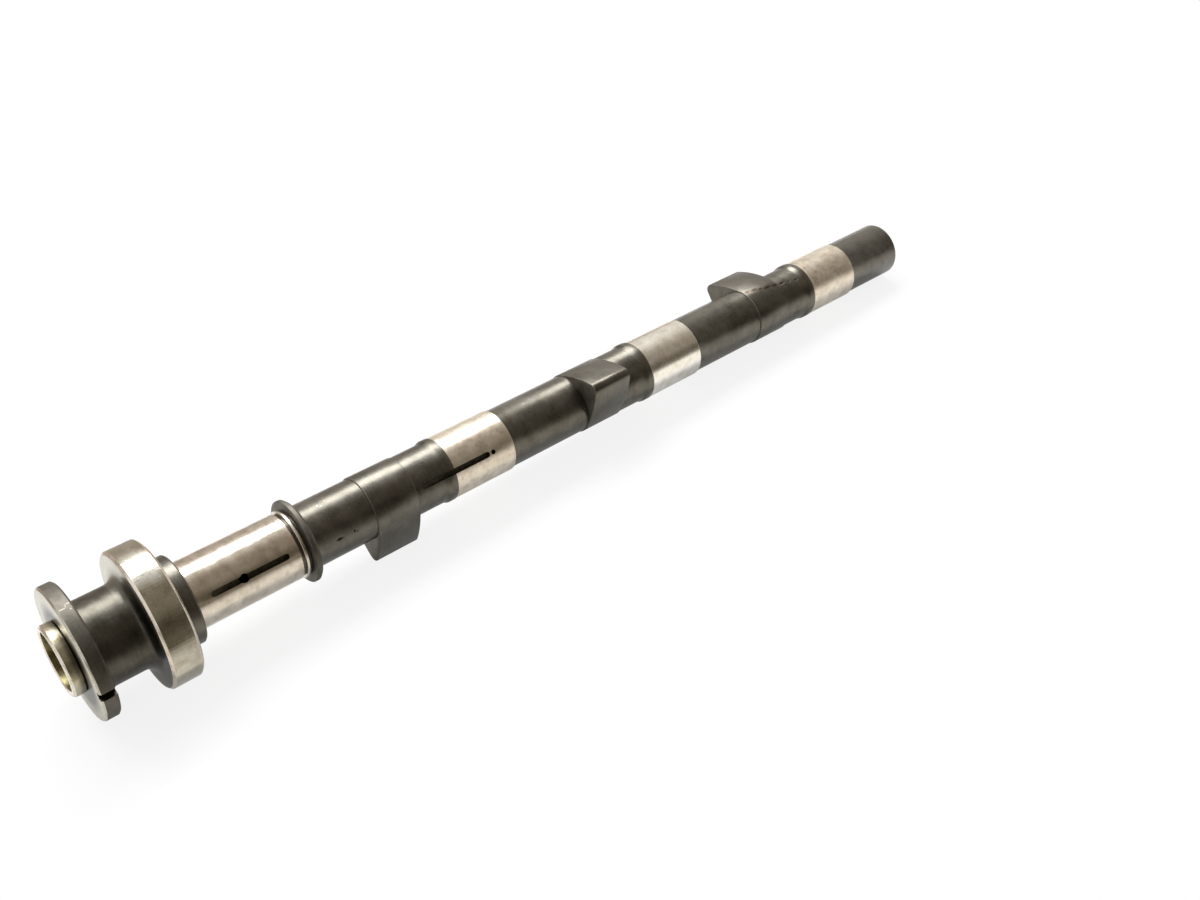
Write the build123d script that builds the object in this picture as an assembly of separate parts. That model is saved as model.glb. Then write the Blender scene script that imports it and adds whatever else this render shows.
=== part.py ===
from build123d import *
import math
import os

# Camshaft for three cylinders, forged, turned and ground in one piece. Sizes are in millimetres.
# The shaft's axis lies level on X, with the nose towards -X and the rear end towards +X. +Z is up.
# The origin is on the axis, at the middle of the front journal.
# Angles go round the axis in degrees, from +Y towards +Z.

# Nose pilot and its bore
nose_radius = 13.8
nose_length = 4.4
nose_bevel = 0.8
bore_radius = 11.5
bore_depth = 12.0
bore_bevel = 0.5
drill_point_angle = 118.0
undercut_depth = 1.0
undercut_width = 0.5
undercut_slope_width = 0.2
face_clearance = 0.1

# Nose flange, with the timing notch in its rim
flange_radius = 25.9
flange_thickness = 5.9
flange_bevel = 0.7
notch_width = 3.2
notch_depth = 2.6
notch_angle = 180.0

# Hub between the nose flange and the drive ring
hub_radius = 16.7
hub_length = 18.4
hub_fillet = 0.8
ring_fillet = 4.5

# Drive ring and the shoulder behind it
ring_radius = 27.25
ring_width = 11.9
ring_bevel = 1.0
shoulder_radius = 17.6
shoulder_length = 6.4
shoulder_bevel = 0.6

# Journals. The rear three are alike, and each follows a lip that is left a little proud.
journal_radius = 13.5
front_journal_length = 41.9
lip_length = 3.9
lip_height = 0.2
rear_journal_length = 29.2
journal_bevel = 0.3

# Oil seal ridge and thrust flange behind the front journal
relief_depth = 0.8
relief_width = 1.1
ridge_height = 0.45
ridge_width = 1.3
ridge_bevel = 0.2
thrust_radius = 17.0
thrust_thickness = 2.7
thrust_front_bevel = 0.3
thrust_rear_bevel = 1.0

# Waists between the lobes and journals
waist_relief = 0.6
thrust_to_lobe = 26.4
lobe_to_journal = 14.5

# Cam lobes, one for each cylinder
lobe_count = 3
cylinder_pitch = 106.6
lobe_width = 19.5
lobe_step = 0.45
lobe_lift = 10.5
lobe_nose_radius = 3.2
lobe_flank_radius = 58.0
lobe_edge_bevel = 0.4
first_lobe_angle = 255.0
lobe_turn = -120.0

# Rear end
rear_neck_length = 33.8
rear_bevel = 1.0

# Oil supply: a drilled gallery, two oil grooves and their holes
gallery_radius = 3.0
gallery_end_clearance = 12.0
oil_angle = 152.2
groove_width = 2.4
groove_depth = 1.5
front_groove_length = 31.4
front_groove_inset = 6.1
oil_hole_radius = 1.8
oil_hole_inset = 13.2
second_groove_lead = 11.4
second_groove_length = 32.4
feed_hole_radius = 1.0
feed_hole_gap = 1.8

# How far a cut reaches past the surface it starts from
cut_clearance = 1.0

# Stations along the axis, measured from the nose end
flange_front = nose_length + undercut_width
hub_front = flange_front + flange_thickness
ring_front = hub_front + hub_length
shoulder_front = ring_front + ring_width
front_journal_start = shoulder_front + shoulder_length
front_journal_end = front_journal_start + front_journal_length
ridge_front = front_journal_end + relief_width
ridge_rear = ridge_front + ridge_width
thrust_front = ridge_rear + relief_width
thrust_rear = thrust_front + thrust_thickness
first_lobe_front = thrust_rear + thrust_to_lobe
lobe_fronts = [first_lobe_front + index * cylinder_pitch for index in range(lobe_count)]
lip_fronts = [front + lobe_width + lobe_to_journal for front in lobe_fronts]
journal_fronts = [front + lip_length for front in lip_fronts]
journal_rears = [front + rear_journal_length for front in journal_fronts]
shaft_end = journal_rears[-1] + rear_neck_length
origin_station = front_journal_start + front_journal_length / 2

# Radii that follow from others
waist_radius = journal_radius - waist_relief
base_radius = waist_radius + lobe_step
reach = base_radius + lobe_lift


def land(start, end, radius, front_bevel=0.0, rear_bevel=0.0):
    """Corner points of one cylindrical step, with a bevel on the edges that have one."""
    points = [(start + front_bevel, radius), (end - rear_bevel, radius)]
    if front_bevel > 0:
        points.insert(0, (start, radius - front_bevel))
    if rear_bevel > 0:
        points.append((end, radius - rear_bevel))
    return points


def front_steps():
    """Half outline from the nose end to the thrust flange."""
    points = land(0, nose_length, nose_radius, front_bevel=nose_bevel)
    points += land(nose_length, flange_front - undercut_slope_width, nose_radius - undercut_depth)
    points += [(flange_front, nose_radius + face_clearance)]
    points += land(flange_front, hub_front, flange_radius, flange_bevel, flange_bevel)
    points += land(hub_front, ring_front, hub_radius)
    points += land(ring_front, shoulder_front, ring_radius, ring_bevel, ring_bevel)
    points += land(shoulder_front, front_journal_start, shoulder_radius, rear_bevel=shoulder_bevel)
    points += land(front_journal_start, front_journal_end, journal_radius, rear_bevel=journal_bevel)
    points += land(front_journal_end, ridge_front, journal_radius - relief_depth)
    points += land(ridge_front, ridge_rear, journal_radius + ridge_height, ridge_bevel, ridge_bevel)
    points += land(ridge_rear, thrust_front, journal_radius - relief_depth)
    points += land(thrust_front, thrust_rear, thrust_radius, thrust_front_bevel, thrust_rear_bevel)
    return points


def rear_steps():
    """Half outline from the thrust flange to the rear end: waists, rear journals and neck."""
    points = []
    waist_start = thrust_rear
    for lip_front, journal_front, journal_rear in zip(lip_fronts, journal_fronts, journal_rears):
        points += land(waist_start, lip_front, waist_radius)
        points += land(lip_front, journal_front, journal_radius + lip_height, journal_bevel, lip_height)
        points += land(journal_front, journal_rear, journal_radius, rear_bevel=journal_bevel)[1:]
        waist_start = journal_rear
    points += land(waist_start, shaft_end, waist_radius, rear_bevel=rear_bevel)
    return points


def ring_edges(body, station, radius):
    """The round edges of a turned body at one station and radius."""
    middle = Vector(station, 0, 0)
    tolerance = 0.01
    circles = body.edges().filter_by(GeomType.CIRCLE)
    return [
        edge for edge in circles
        if (edge.arc_center - middle).length < tolerance and abs(edge.radius - radius) < tolerance
    ]


def turned_shaft():
    """Every round step of the shaft, revolved from one half outline, with the hub's two root fillets."""
    outline = [(0, 0)] + front_steps() + rear_steps() + [(shaft_end, 0)]
    section = make_face(Polyline(*outline, close=True))
    shaft = revolve(section, axis=Axis.X)
    shaft = fillet(ring_edges(shaft, ring_front, hub_radius), ring_fillet)
    return fillet(ring_edges(shaft, hub_front, hub_radius), hub_fillet)


def lobe_outline():
    """Cam outline in its own plane, nose up: base circle, two flank arcs and the nose arc."""
    nose_offset = reach - lobe_nose_radius
    to_base = lobe_flank_radius - base_radius
    to_nose = lobe_flank_radius - lobe_nose_radius
    centre_height = (nose_offset**2 + to_base**2 - to_nose**2) / (2 * nose_offset)
    centre_side = math.sqrt(to_base**2 - centre_height**2)
    base_angle = math.degrees(math.atan2(-centre_height, centre_side))
    nose_angle = math.degrees(math.atan2(nose_offset - centre_height, centre_side))
    flank_turn = nose_angle - base_angle
    with BuildSketch() as sketch:
        with BuildLine():
            CenterArc((0, 0), base_radius, 180 - base_angle, 180 + 2 * base_angle)
            CenterArc((0, nose_offset), lobe_nose_radius, nose_angle, 180 - 2 * nose_angle)
            CenterArc((-centre_side, centre_height), lobe_flank_radius, base_angle, flank_turn)
            CenterArc((centre_side, centre_height), lobe_flank_radius, 180 - nose_angle, flank_turn)
        make_face()
    return sketch.sketch


def lobe(front, angle):
    """One cam lobe whose nose points along the angle, with its edges bevelled."""
    quarter_turn = 90
    outline = Plane.YZ.offset(front) * Rot(0, 0, angle - quarter_turn) * lobe_outline()
    body = extrude(outline, lobe_width)
    sides = body.faces().filter_by(Axis.X)
    return chamfer(sides.edges(), lobe_edge_bevel)


def bar(start, end, radius):
    """A round bar along the axis, to add or to cut."""
    length = end - start
    return Plane.YZ.offset(start) * Pos(0, 0, length / 2) * Cylinder(radius, length)


def nose_bore():
    """The blind bore in the nose, with its drill point and the bevel at its mouth."""
    point_depth = (bore_radius - gallery_radius) / math.tan(math.radians(drill_point_angle / 2))
    point = Plane.YZ.offset(bore_depth) * Pos(0, 0, point_depth / 2)
    mouth = Plane.YZ * Pos(0, 0, bore_bevel / 2)
    return (
        bar(0, bore_depth, bore_radius)
        + point * Cone(bore_radius, gallery_radius, point_depth)
        + mouth * Cone(bore_radius + bore_bevel, bore_radius, bore_bevel)
    )


def outward_plane(station, angle, radius):
    """A plane that lies on the shaft at one station and angle, facing out, with its x along the shaft."""
    turn = math.radians(angle)
    outward = Vector(0, math.cos(turn), math.sin(turn))
    origin = Vector(station, 0, 0) + outward * radius
    return Plane(origin=origin, x_dir=(1, 0, 0), z_dir=outward)


def oil_groove(start, length):
    """A round-ended groove along the shaft, cut down from the journal's surface."""
    floor = outward_plane(start + length / 2, oil_angle, journal_radius - groove_depth)
    return extrude(floor * SlotOverall(length, groove_width), groove_depth + cut_clearance)


def oil_hole(station, radius):
    """A radial hole from the gallery on the axis out through the surface."""
    length = journal_radius + cut_clearance
    return outward_plane(station, oil_angle, 0) * Pos(0, 0, length / 2) * Cylinder(radius, length)


def timing_notch():
    """The notch through the rim of the nose flange."""
    length = flange_thickness + 2 * cut_clearance
    height = notch_depth + cut_clearance
    floor = outward_plane(flange_front + flange_thickness / 2, notch_angle, flange_radius - notch_depth)
    return floor * Pos(0, 0, height / 2) * Box(length, notch_width, height)


def camshaft():
    """The whole camshaft: turned shaft, lobes, bore, notch, gallery, grooves and holes."""
    body = turned_shaft()
    for index, front in enumerate(lobe_fronts):
        body += lobe(front, first_lobe_angle + index * lobe_turn)
    second_groove_start = lip_fronts[0] - second_groove_lead
    second_groove_end = second_groove_start + second_groove_length
    feed_station = second_groove_end + feed_hole_gap
    body -= nose_bore()
    body -= bar(0, feed_station + gallery_end_clearance, gallery_radius)
    body -= timing_notch()
    body -= oil_groove(front_journal_start + front_groove_inset, front_groove_length)
    body -= oil_groove(second_groove_start, second_groove_length)
    body -= oil_hole(front_journal_start + front_groove_inset + oil_hole_inset, oil_hole_radius)
    body -= oil_hole(feed_station, feed_hole_radius)
    return Pos(-origin_station, 0, 0) * body


def main():
    os.makedirs("parts", exist_ok=True)
    export_step(camshaft(), "parts/camshaft.step")


main()
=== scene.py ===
"""A camshaft of ground and dark forged steel, lying on a white studio floor.

The part is one forging, turned, drilled and ground. Its visible body is spun from its own half outline,
gets its lobes, and is cut by the notch, the oil grooves and the oil holes.
"""
import logging
import math
from contextlib import contextmanager
from dataclasses import dataclass, field, replace
from enum import Enum
from typing import Callable, Iterator

import bpy
from mathutils import Matrix, Vector


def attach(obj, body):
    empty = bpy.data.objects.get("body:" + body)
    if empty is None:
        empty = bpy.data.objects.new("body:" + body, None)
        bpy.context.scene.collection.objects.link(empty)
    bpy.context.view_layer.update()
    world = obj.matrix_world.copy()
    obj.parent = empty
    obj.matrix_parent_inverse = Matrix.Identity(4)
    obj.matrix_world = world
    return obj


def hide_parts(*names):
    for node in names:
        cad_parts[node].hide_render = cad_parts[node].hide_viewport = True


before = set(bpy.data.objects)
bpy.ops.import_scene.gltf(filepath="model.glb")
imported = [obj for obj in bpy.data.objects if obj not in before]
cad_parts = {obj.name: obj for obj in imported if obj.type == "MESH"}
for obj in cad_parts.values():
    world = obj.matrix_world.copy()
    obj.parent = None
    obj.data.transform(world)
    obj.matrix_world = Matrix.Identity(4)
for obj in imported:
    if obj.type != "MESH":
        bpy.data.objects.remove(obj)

LOG = logging.getLogger("camshaft")
MM = 0.001
NODE = "camshaft"
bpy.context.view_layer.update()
# Linear colours of the stage: the white that the camera sees, and the paper that the lamps light.
WHITE = (1.0, 1.0, 1.0, 1.0)
PAPER = (0.8, 0.8, 0.8, 1.0)
# A Mix node of colours has several sockets of the same name, so they go by number.
MIX_SHARE, MIX_FIRST, MIX_SECOND, MIX_RESULT = 0, 6, 7, 2

Point = tuple[float, float]
Triple = tuple[float, float, float]
Colour = tuple[float, float, float, float]
Socket = bpy.types.NodeSocket


def linear(hex_colour: str) -> Colour:
    """Turns an sRGB hex colour into linear red, green, blue and alpha.

    Args:
        hex_colour: Six hex digits.

    Returns:
        The linear colour with an alpha of one.
    """
    channels = [int(hex_colour[place : place + 2], 16) / 255 for place in (0, 2, 4)]
    values = [c / 12.92 if c <= 0.04045 else ((c + 0.055) / 1.055) ** 2.4 for c in channels]
    return (values[0], values[1], values[2], 1.0)


def pattern_scale(size: float) -> float:
    """The scale of a noise on Object coordinates whose lumps are about as large as a size in millimetres."""
    return 1 / (size * MM)


def deselect_all() -> None:
    """Leaves nothing selected, so that the next operator acts on its own piece alone."""
    bpy.ops.object.select_all(action="DESELECT")


def make_active(piece: bpy.types.Object) -> None:
    """Selects one piece alone and makes it the active one.

    Args:
        piece: The piece that the next operators act on.
    """
    deselect_all()
    piece.select_set(True)
    bpy.context.view_layer.objects.active = piece


def add_object(name: str, operator: Callable[..., set[str]], **options: object) -> bpy.types.Object:
    """Adds one primitive, lamp or camera by its operator and names it.

    Args:
        name: The new object's name.
        operator: The operator that adds it.
        **options: The operator's options.

    Returns:
        The new object, which is the active one.
    """
    deselect_all()
    operator(**options)
    added = bpy.context.active_object
    added.name = name
    return added


@contextmanager
def mesh_editing() -> Iterator[None]:
    """Edits the active mesh, all selected at first, and goes back to object mode."""
    bpy.ops.object.mode_set(mode="EDIT")
    bpy.ops.mesh.select_all(action="SELECT")
    yield
    bpy.ops.object.mode_set(mode="OBJECT")


def round_edges(sharpness: float, size: float, segments: int, clamp_overlap: bool = False) -> None:
    """Turns the edited mesh's faces outwards and rounds its sharp edges.

    Args:
        sharpness: Smallest angle between the faces of a sharp edge, in degrees.
        size: Width of the rounding in millimetres.
        segments: How many faces the rounding has across.
        clamp_overlap: True where neighbouring edges may be closer than their roundings.
    """
    bpy.ops.mesh.select_all(action="SELECT")
    bpy.ops.mesh.normals_make_consistent(inside=False)
    bpy.ops.mesh.select_all(action="DESELECT")
    bpy.ops.mesh.edges_select_sharp(sharpness=math.radians(sharpness))
    bpy.ops.mesh.bevel(offset=size * MM, segments=segments, affect="EDGES", clamp_overlap=clamp_overlap)


def outward(angle: float) -> Vector:
    """The direction away from the axis at an angle in degrees, from +Y towards +Z."""
    turn = math.radians(angle)
    return Vector((0, math.cos(turn), math.sin(turn)))


def land(
    start: float, end: float, radius: float, front_bevel: float = 0.0, rear_bevel: float = 0.0
) -> list[Point]:
    """Corner points of one cylindrical step, with a bevel on the edges that have one.

    Args:
        start: Station of the step's front.
        end: Station of the step's rear.
        radius: The step's radius.
        front_bevel: Size of the bevel at the front edge, or zero.
        rear_bevel: Size of the bevel at the rear edge, or zero.

    Returns:
        Two to four points of the half outline.
    """
    points = [(start + front_bevel, radius), (end - rear_bevel, radius)]
    if front_bevel > 0:
        points.insert(0, (start, radius - front_bevel))
    if rear_bevel > 0:
        points.append((end, radius - rear_bevel))
    return points


def cove(station: float, radius: float, fillet: float, opens_forward: bool, steps: int = 6) -> list[Point]:
    """Points of the hollow fillet where a cylinder meets a flat face.

    Args:
        station: Station of the flat face.
        radius: The cylinder's radius.
        fillet: The fillet's radius.
        opens_forward: True where the cylinder lies in front of the face.
        steps: Segments of the arc.

    Returns:
        The arc's points in the order of their stations.
    """
    side = -1 if opens_forward else 1
    centre = (station + side * fillet, radius + fillet)
    turns = [index / steps * math.pi / 2 for index in range(steps + 1)]
    points = [(centre[0] - side * fillet * math.sin(t), centre[1] - fillet * math.cos(t)) for t in turns]
    return points if opens_forward else points[::-1]


def arc(centre: Point, radius: float, start: float, end: float, steps: int) -> list[Point]:
    """Points along an arc, without its last one.

    Args:
        centre: The arc's centre.
        radius: The arc's radius.
        start: Angle of the first point in radians.
        end: Angle just past the last point in radians.
        steps: How many points there are.

    Returns:
        The points in order.
    """
    angles = [start + (end - start) * index / steps for index in range(steps)]
    return [(centre[0] + radius * math.cos(a), centre[1] + radius * math.sin(a)) for a in angles]


@dataclass(frozen=True)
class ShaftSizes:
    """Sizes of the turned shaft in millimetres, as its solid has them, with stations from the nose end."""

    nose_radius: float = 13.8
    nose_length: float = 4.4
    nose_bevel: float = 0.8
    bore_radius: float = 11.5
    bore_depth: float = 12.0
    bore_bevel: float = 0.5
    drill_point_angle: float = 118.0
    undercut_depth: float = 1.0
    undercut_width: float = 0.5
    undercut_slope_width: float = 0.2
    face_clearance: float = 0.1
    flange_radius: float = 25.9
    flange_thickness: float = 5.9
    flange_bevel: float = 0.7
    hub_radius: float = 16.7
    hub_length: float = 18.4
    hub_fillet: float = 0.8
    ring_fillet: float = 4.5
    ring_radius: float = 27.25
    ring_width: float = 11.9
    ring_bevel: float = 1.0
    shoulder_radius: float = 17.6
    shoulder_length: float = 6.4
    shoulder_bevel: float = 0.6
    journal_radius: float = 13.5
    front_journal_length: float = 41.9
    lip_length: float = 3.9
    lip_height: float = 0.2
    rear_journal_length: float = 29.2
    journal_bevel: float = 0.3
    relief_depth: float = 0.8
    relief_width: float = 1.1
    ridge_height: float = 0.45
    ridge_width: float = 1.3
    ridge_bevel: float = 0.2
    thrust_radius: float = 17.0
    thrust_thickness: float = 2.7
    thrust_front_bevel: float = 0.3
    thrust_rear_bevel: float = 1.0
    waist_relief: float = 0.6
    thrust_to_lobe: float = 26.4
    lobe_to_journal: float = 14.5
    lobe_count: int = 3
    cylinder_pitch: float = 106.6
    lobe_width: float = 19.5
    rear_neck_length: float = 33.8
    rear_bevel: float = 1.0
    gallery_radius: float = 3.0
    gallery_end: float = 190.8

    @property
    def flange_front(self) -> float:
        """Station of the nose flange's front face."""
        return self.nose_length + self.undercut_width

    @property
    def hub_front(self) -> float:
        """Station where the hub leaves the nose flange."""
        return self.flange_front + self.flange_thickness

    @property
    def ring_front(self) -> float:
        """Station of the drive ring's front face."""
        return self.hub_front + self.hub_length

    @property
    def shoulder_front(self) -> float:
        """Station of the drive ring's rear face."""
        return self.ring_front + self.ring_width

    @property
    def front_journal_start(self) -> float:
        """Station where the front journal leaves the shoulder."""
        return self.shoulder_front + self.shoulder_length

    @property
    def front_journal_end(self) -> float:
        """Station where the front journal meets its relief groove."""
        return self.front_journal_start + self.front_journal_length

    @property
    def ridge_front(self) -> float:
        """Station of the seal ridge's front."""
        return self.front_journal_end + self.relief_width

    @property
    def thrust_front(self) -> float:
        """Station of the thrust flange's front face."""
        return self.ridge_front + self.ridge_width + self.relief_width

    @property
    def thrust_rear(self) -> float:
        """Station of the thrust flange's rear face."""
        return self.thrust_front + self.thrust_thickness

    @property
    def lobe_fronts(self) -> list[float]:
        """Stations of the lobes' front faces."""
        first = self.thrust_rear + self.thrust_to_lobe
        return [first + index * self.cylinder_pitch for index in range(self.lobe_count)]

    @property
    def lip_fronts(self) -> list[float]:
        """Stations where the rear journals' lips start."""
        return [front + self.lobe_width + self.lobe_to_journal for front in self.lobe_fronts]

    @property
    def journal_spans(self) -> list[Point]:
        """Start and end station of each rear journal's ground land."""
        starts = [front + self.lip_length for front in self.lip_fronts]
        return [(start, start + self.rear_journal_length) for start in starts]

    @property
    def shaft_end(self) -> float:
        """Station of the rear end."""
        return self.journal_spans[-1][1] + self.rear_neck_length

    @property
    def waist_radius(self) -> float:
        """Radius of the shaft between its lobes and journals."""
        return self.journal_radius - self.waist_relief

    @property
    def origin_station(self) -> float:
        """Station of the frame's origin, at the middle of the front journal."""
        return self.front_journal_start + self.front_journal_length / 2


@dataclass(frozen=True)
class LobeSizes:
    """Sizes of one cam lobe in millimetres and degrees."""

    base_radius: float = 13.35
    lift: float = 10.5
    nose_radius: float = 3.2
    flank_radius: float = 58.0
    edge_bevel: float = 0.4
    first_angle: float = 255.0
    turn: float = -120.0


class Finish(Enum):
    """The surfaces of the shaft that look different, in the order of each piece's material slots."""

    FORGED = 0
    HUB = 1
    RIM = 2
    RING = 3
    GROUND = 4
    WORN = 5
    EDGE = 6
    LOBE = 7
    PILOT = 8
    BORE = 9
    OIL = 10
    FACE = 11
    POLISHED = 12
    FLANGE = 13


class Tree:
    """The node tree of a material or of the world, with one way to add a node."""

    def __init__(self, owner: bpy.types.Material | bpy.types.World) -> None:
        """Empties the owner's tree, ready for its own nodes."""
        owner.use_nodes = True
        self.tree = owner.node_tree
        self.tree.nodes.clear()

    def add(self, kind: str, links: dict | None = None, **settings: object) -> bpy.types.Node:
        """Adds one node with its settings, socket values and links.

        Args:
            kind: The node's type name without its ShaderNode prefix.
            links: Input name or index, with a value or an output socket for it.
            **settings: Properties that are set on the node itself.

        Returns:
            The new node.
        """
        node = self.tree.nodes.new("ShaderNode" + kind)
        for name, value in settings.items():
            setattr(node, name, value)
        for place, value in (links or {}).items():
            if isinstance(value, bpy.types.NodeSocket):
                self.tree.links.new(value, node.inputs[place])
            else:
                node.inputs[place].default_value = value
        return node


@dataclass(frozen=True)
class Mark:
    """One small flaw at a place on the shaft, in millimetres and degrees from the camera's side upwards."""

    station: float
    angle: float
    radius: float
    size: float
    stretch: Triple = (1.0, 1.0, 1.0)

    def place(self, origin_station: float) -> Vector:
        """The mark's place in the shaft's frame, in metres.

        Args:
            origin_station: Station of the frame's origin.

        Returns:
            The place as a vector.
        """
        turn = math.radians(self.angle)
        side, up = -self.radius * math.cos(turn), self.radius * math.sin(turn)
        return Vector((self.station - origin_station, side, up)) * MM


@dataclass(frozen=True)
class Patterns:
    """The patterns that one finish's colour, roughness and relief share."""

    place: Socket
    blotches: Socket
    grain: Socket
    lines: Socket


@dataclass(frozen=True)
class PatternLook:
    """How the patterns of every finish are drawn: each noise's detail, weight and range of values.

    The stains and the marks' ragged rims have sizes too: a share of the blotches', and millimetres.
    """

    blotch_detail: float = 5.0
    grain_detail: float = 3.0
    line_detail: float = 2.0
    line_stretch: float = 50.0
    line_weight: float = 0.3
    grain_weight: float = 0.4
    metal_range: Point = (0.66, 1.04)
    stain_size: float = 0.6
    stain_detail: float = 4.0
    stain_range: Point = (0.5, 0.68)
    roughness_range: Point = (0.7, 1.3)
    rim_size: float = 0.5
    rim_detail: float = 2.0
    rim_range: Point = (1.7, 0.9)


LOOK = PatternLook()


@dataclass(frozen=True)
class SteelFinish:
    """One finish of the steel: its colours, its sheen, its grain and its lines round the shaft.

    Lengths are in millimetres. Lines are the marks that turning or grinding leaves round the axis. They and
    the grain are really a few hundredths of a millimetre apart, and are drawn as coarse as they need to
    show. The marks, pits and scuffs, have their own places on the shaft. The outer colour takes over with
    the distance from the outer middle, which is given to the far side and upwards; where the finish's own
    colours are the darker, this paints shade at roots, low on the camera's side and deep in grooves.
    """

    name: str
    colour: str
    shade: str
    stain: str
    blotch_size: float
    roughness: float
    grain_height: float
    line_height: float
    stain_share: float = 0.4
    roughness_spread: float = 0.05
    grain_size: float = 0.9
    line_spacing: float = 0.4
    pits: tuple[Mark, ...] = ()
    pit_colour: str = "1c1a16"
    pit_depth: float = 0.15
    scuffs: tuple[Mark, ...] = ()
    scuff_colour: str = "ded8cf"
    outer_colour: str = ""
    outer_radii: Point = (12.3, 13.3)
    outer_middle: Point = (0.0, 0.0)

    def material(self, origin_station: float) -> bpy.types.Material:
        """Builds the procedural material.

        Args:
            origin_station: Station of the frame's origin, from which the marks are placed.

        Returns:
            The new material.
        """
        material = bpy.data.materials.new(self.name)
        tree = Tree(material)
        patterns = self._patterns(tree)
        colour = self._colour(tree, patterns)
        normal = self._relief(tree, patterns)
        if self.pits:
            pitted = self._marks(tree, patterns.place, self.pits, origin_station)
            stained = {MIX_SHARE: pitted, MIX_FIRST: colour, MIX_SECOND: linear(self.pit_colour)}
            colour = tree.add("Mix", stained, data_type="RGBA").outputs[MIX_RESULT]
            dent = {"Height": pitted, "Distance": self.pit_depth * MM, "Strength": 1.0, "Normal": normal}
            normal = tree.add("Bump", dent, invert=True).outputs["Normal"]
        if self.scuffs:
            scuffed = self._marks(tree, patterns.place, self.scuffs, origin_station)
            bared = {MIX_SHARE: scuffed, MIX_FIRST: colour, MIX_SECOND: linear(self.scuff_colour)}
            colour = tree.add("Mix", bared, data_type="RGBA").outputs[MIX_RESULT]
        roughness = self._roughness(tree, patterns)
        steel = {"Metallic": 1.0, "Base Color": colour, "Roughness": roughness, "Normal": normal}
        surface = tree.add("BsdfPrincipled", steel)
        tree.add("OutputMaterial", {"Surface": surface.outputs["BSDF"]})
        return material

    def _patterns(self, tree: Tree) -> Patterns:
        """Soft blotches, a fine grain, and lines that change fast along X and slowly round the shaft.

        Args:
            tree: The material's tree.

        Returns:
            The patterns' sockets.
        """
        place = tree.add("TexCoord").outputs["Object"]
        large = {"Vector": place, "Scale": pattern_scale(self.blotch_size), "Detail": LOOK.blotch_detail}
        small = {"Vector": place, "Scale": pattern_scale(self.grain_size), "Detail": LOOK.grain_detail}
        along = pattern_scale(self.line_spacing)
        round_shaft = along / LOOK.line_stretch
        drawn = tree.add("Mapping", {"Vector": place, "Scale": (along, round_shaft, round_shaft)})
        rings = {"Vector": drawn.outputs["Vector"], "Scale": 1.0, "Detail": LOOK.line_detail}
        noises = [tree.add("TexNoise", links).outputs["Fac"] for links in (large, small, rings)]
        return Patterns(place, *noises)

    def _relief(self, tree: Tree, patterns: Patterns) -> Socket:
        """The surface's normal, with the grain and then the lines in relief.

        Args:
            tree: The material's tree.
            patterns: The finish's patterns.

        Returns:
            The normal's socket.
        """
        grain = {"Height": patterns.grain, "Distance": self.grain_height * MM, "Strength": 1.0}
        normal = tree.add("Bump", grain).outputs["Normal"]
        depth = self.line_height * MM
        lines = {"Height": patterns.lines, "Distance": depth, "Strength": 1.0, "Normal": normal}
        return tree.add("Bump", lines).outputs["Normal"]

    def _marks(
        self, tree: Tree, place: Socket, marks: tuple[Mark, ...], origin_station: float
    ) -> Socket:
        """A share that is one within the marks and fades out ragged at their rims.

        Args:
            tree: The material's tree.
            place: The surface's place.
            marks: The marks to draw.
            origin_station: Station of the frame's origin.

        Returns:
            The share's socket.
        """
        rim = {"Vector": place, "Scale": pattern_scale(LOOK.rim_size), "Detail": LOOK.rim_detail}
        ragged = tree.add("TexNoise", rim).outputs["Fac"]
        outside, inside = LOOK.rim_range
        shares = []
        for mark in marks:
            scale = [stretch / (mark.size * MM) for stretch in mark.stretch]
            location = [-offset * by for offset, by in zip(mark.place(origin_station), scale)]
            local = tree.add("Mapping", {"Vector": place, "Location": location, "Scale": scale})
            length = tree.add("VectorMath", {0: local.outputs[0]}, operation="LENGTH")
            rough = tree.add("Math", {0: length.outputs["Value"], 1: ragged}, operation="ADD")
            fade = {"Value": rough.outputs[0], "From Min": outside, "From Max": inside}
            shares.append(tree.add("MapRange", fade).outputs["Result"])
        total = shares[0]
        for share in shares[1:]:
            total = tree.add("Math", {0: total, 1: share}, operation="MAXIMUM").outputs[0]
        return total

    def _colour(self, tree: Tree, patterns: Patterns) -> Socket:
        """Base colour: light and dark metal by blotches, grain and lines, with stains here and there.

        Args:
            tree: The material's tree.
            patterns: The finish's patterns.

        Returns:
            The colour's socket.
        """
        ringed = {0: patterns.lines, 1: LOOK.line_weight, 2: patterns.blotches}
        ringed = tree.add("Math", ringed, operation="MULTIPLY_ADD").outputs[0]
        grained = {0: patterns.grain, 1: LOOK.grain_weight, 2: ringed}
        every = tree.add("Math", grained, operation="MULTIPLY_ADD").outputs[0]
        low, high = LOOK.metal_range
        light = tree.add("MapRange", {"Value": every, "From Min": low, "From Max": high}).outputs["Result"]
        both = {MIX_SHARE: light, MIX_FIRST: linear(self.shade), MIX_SECOND: linear(self.colour)}
        metal = tree.add("Mix", both, data_type="RGBA").outputs[MIX_RESULT]
        stain_scale = pattern_scale(self.blotch_size * LOOK.stain_size)
        spread = {"Vector": patterns.place, "Scale": stain_scale, "Detail": LOOK.stain_detail}
        low, high = LOOK.stain_range
        stained = {
            "Value": tree.add("TexNoise", spread).outputs["Fac"],
            "From Min": low, "From Max": high, "To Min": 0.0, "To Max": self.stain_share,
        }
        share = tree.add("MapRange", stained).outputs["Result"]
        both = {MIX_SHARE: share, MIX_FIRST: metal, MIX_SECOND: linear(self.stain)}
        colour = tree.add("Mix", both, data_type="RGBA").outputs[MIX_RESULT]
        return self._outward(tree, patterns.place, colour) if self.outer_colour else colour

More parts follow.
